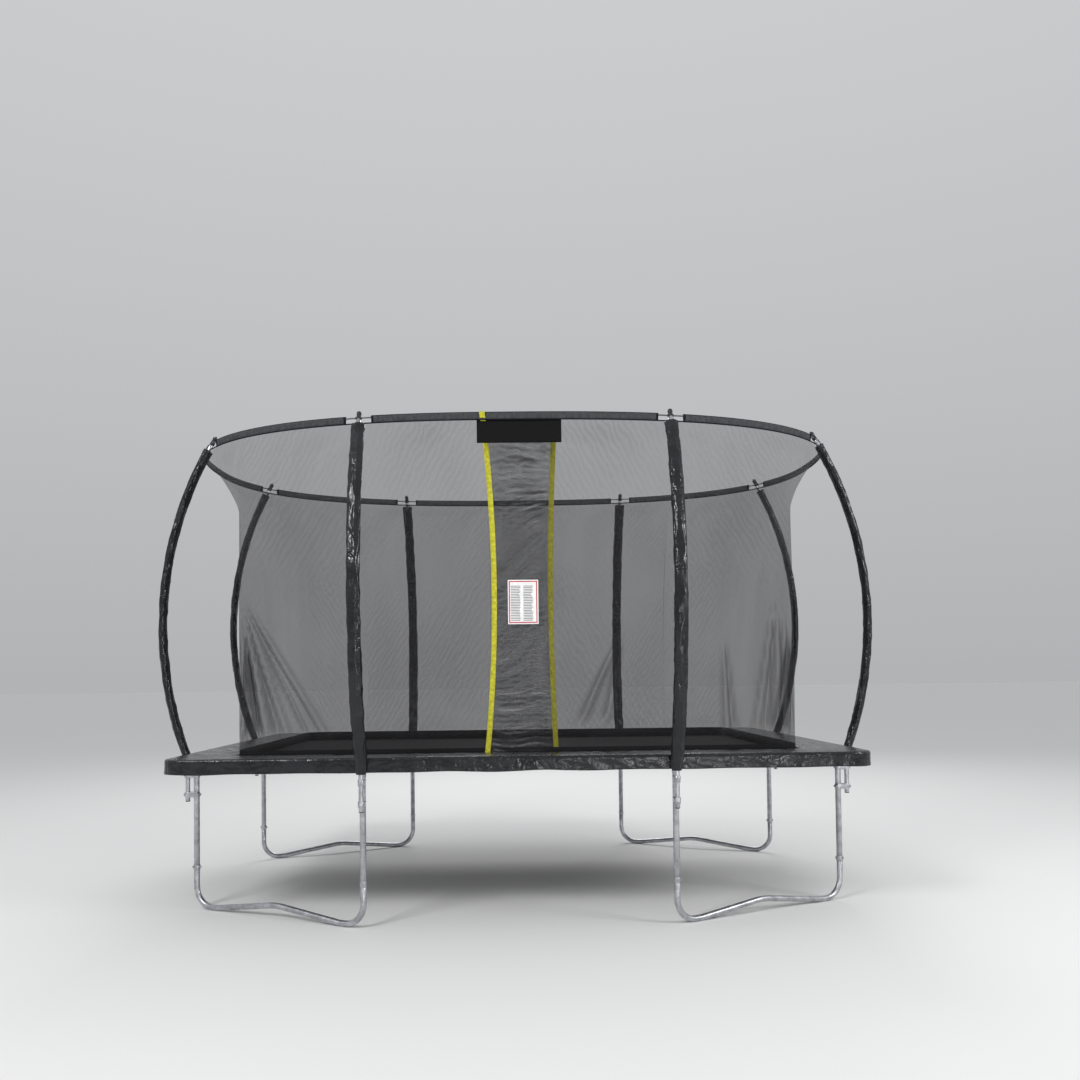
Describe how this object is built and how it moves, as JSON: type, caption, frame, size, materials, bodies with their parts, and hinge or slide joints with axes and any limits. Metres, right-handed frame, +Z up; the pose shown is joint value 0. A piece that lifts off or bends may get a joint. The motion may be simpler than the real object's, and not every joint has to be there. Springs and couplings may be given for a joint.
{
  "type": "trampoline",
  "caption": "Rectangular garden trampoline on W-shaped leg units, with a spring-hung mat, padded edge, bowed padded poles and a round-topped net with an overlap entrance.",
  "frame": {"origin": "on the ground under the middle of the frame", "axes": "+X along the long side, +Y from the entrance to the back, +Z up"},
  "size_m": [4.0664, 2.8464, 2.6807],
  "materials": {
    "steel": "galvanised, bright, slightly mottled",
    "vinyl": "black coated fabric over foam, semi-gloss, creased",
    "net": "fine black knitted mesh, see-through",
    "mat": "woven black polypropylene, dull",
    "cap": "moulded black",
    "rod": "pultruded grey fibreglass",
    "spring": "zinc-plated wire",
    "edge_trim": "yellow-green webbing",
    "banner": "black coated fabric",
    "label": "white printed label with a red border"
  },
  "bodies": {
    "frame": {"frame_rail_front": "steel", "frame_rail_back": "steel", "frame_rail_left": "steel", "frame_rail_right": "steel", "frame_corner_front_left": "steel", "leg_base_front_left": "steel", "frame_corner_front_right": "steel", "leg_base_front_right": "steel", "frame_corner_back_left": "steel", "leg_base_back_left": "steel", "frame_corner_back_right": "steel", "leg_base_back_right": "steel", "leg_post_front_left_long": "steel", "pole_front_left_long": "steel", "pole_cap_front_left_long": "cap", "pole_sleeve_front_left_long": "vinyl", "leg_post_front_left_short": "steel", "pole_front_left_short": "steel", "pole_cap_front_left_short": "cap", "pole_sleeve_front_left_short": "vinyl", "leg_post_front_right_long": "steel", "pole_front_right_long": "steel", "pole_cap_front_right_long": "cap", "pole_sleeve_front_right_long": "vinyl", "leg_post_front_right_short": "steel", "pole_front_right_short": "steel", "pole_cap_front_right_short": "cap", "pole_sleeve_front_right_short": "vinyl", "leg_post_back_left_long": "steel", "pole_back_left_long": "steel", "pole_cap_back_left_long": "cap", "pole_sleeve_back_left_long": "vinyl", "leg_post_back_left_short": "steel", "pole_back_left_short": "steel", "pole_cap_back_left_short": "cap", "pole_sleeve_back_left_short": "vinyl", "leg_post_back_right_long": "steel", "pole_back_right_long": "steel", "pole_cap_back_right_long": "cap", "pole_sleeve_back_right_long": "vinyl", "leg_post_back_right_short": "steel", "pole_back_right_short": "steel", "pole_cap_back_right_short": "cap", "pole_sleeve_back_right_short": "vinyl", "top_ring": "rod", "net_left": "net", "net_right": "net", "net_back": "net", "net_header": "net", "banner": "banner", "pad_front": "vinyl", "pad_back": "vinyl", "pad_left": "vinyl", "pad_right": "vinyl"},
    "mat": {"mat": "mat", "springs": "spring"},
    "outer_flap": {"door_outer_flap": "net", "label": "label"},
    "inner_flap": {"door_inner_flap": "net"}
  },
  "joints": [
    {"name": "mat_bounce", "type": "slide", "parent": "frame", "child": "mat", "axis": [0, 0, -1], "range_m": [0, 0.2], "stiffness_N_per_m": 4000, "springref_m": -0.05, "deforming": ["springs"]},
    {"name": "outer_flap_swing", "type": "hinge", "parent": "frame", "child": "outer_flap", "pos_m": [0.185, -0.9545, 1.3], "axis": [0, 0, 1], "range_deg": [0, 60]},
    {"name": "inner_flap_swing", "type": "hinge", "parent": "frame", "child": "inner_flap", "pos_m": [-0.145, -0.9115, 1.3], "axis": [0, 0, 1], "range_deg": [0, 60]}
  ]
}
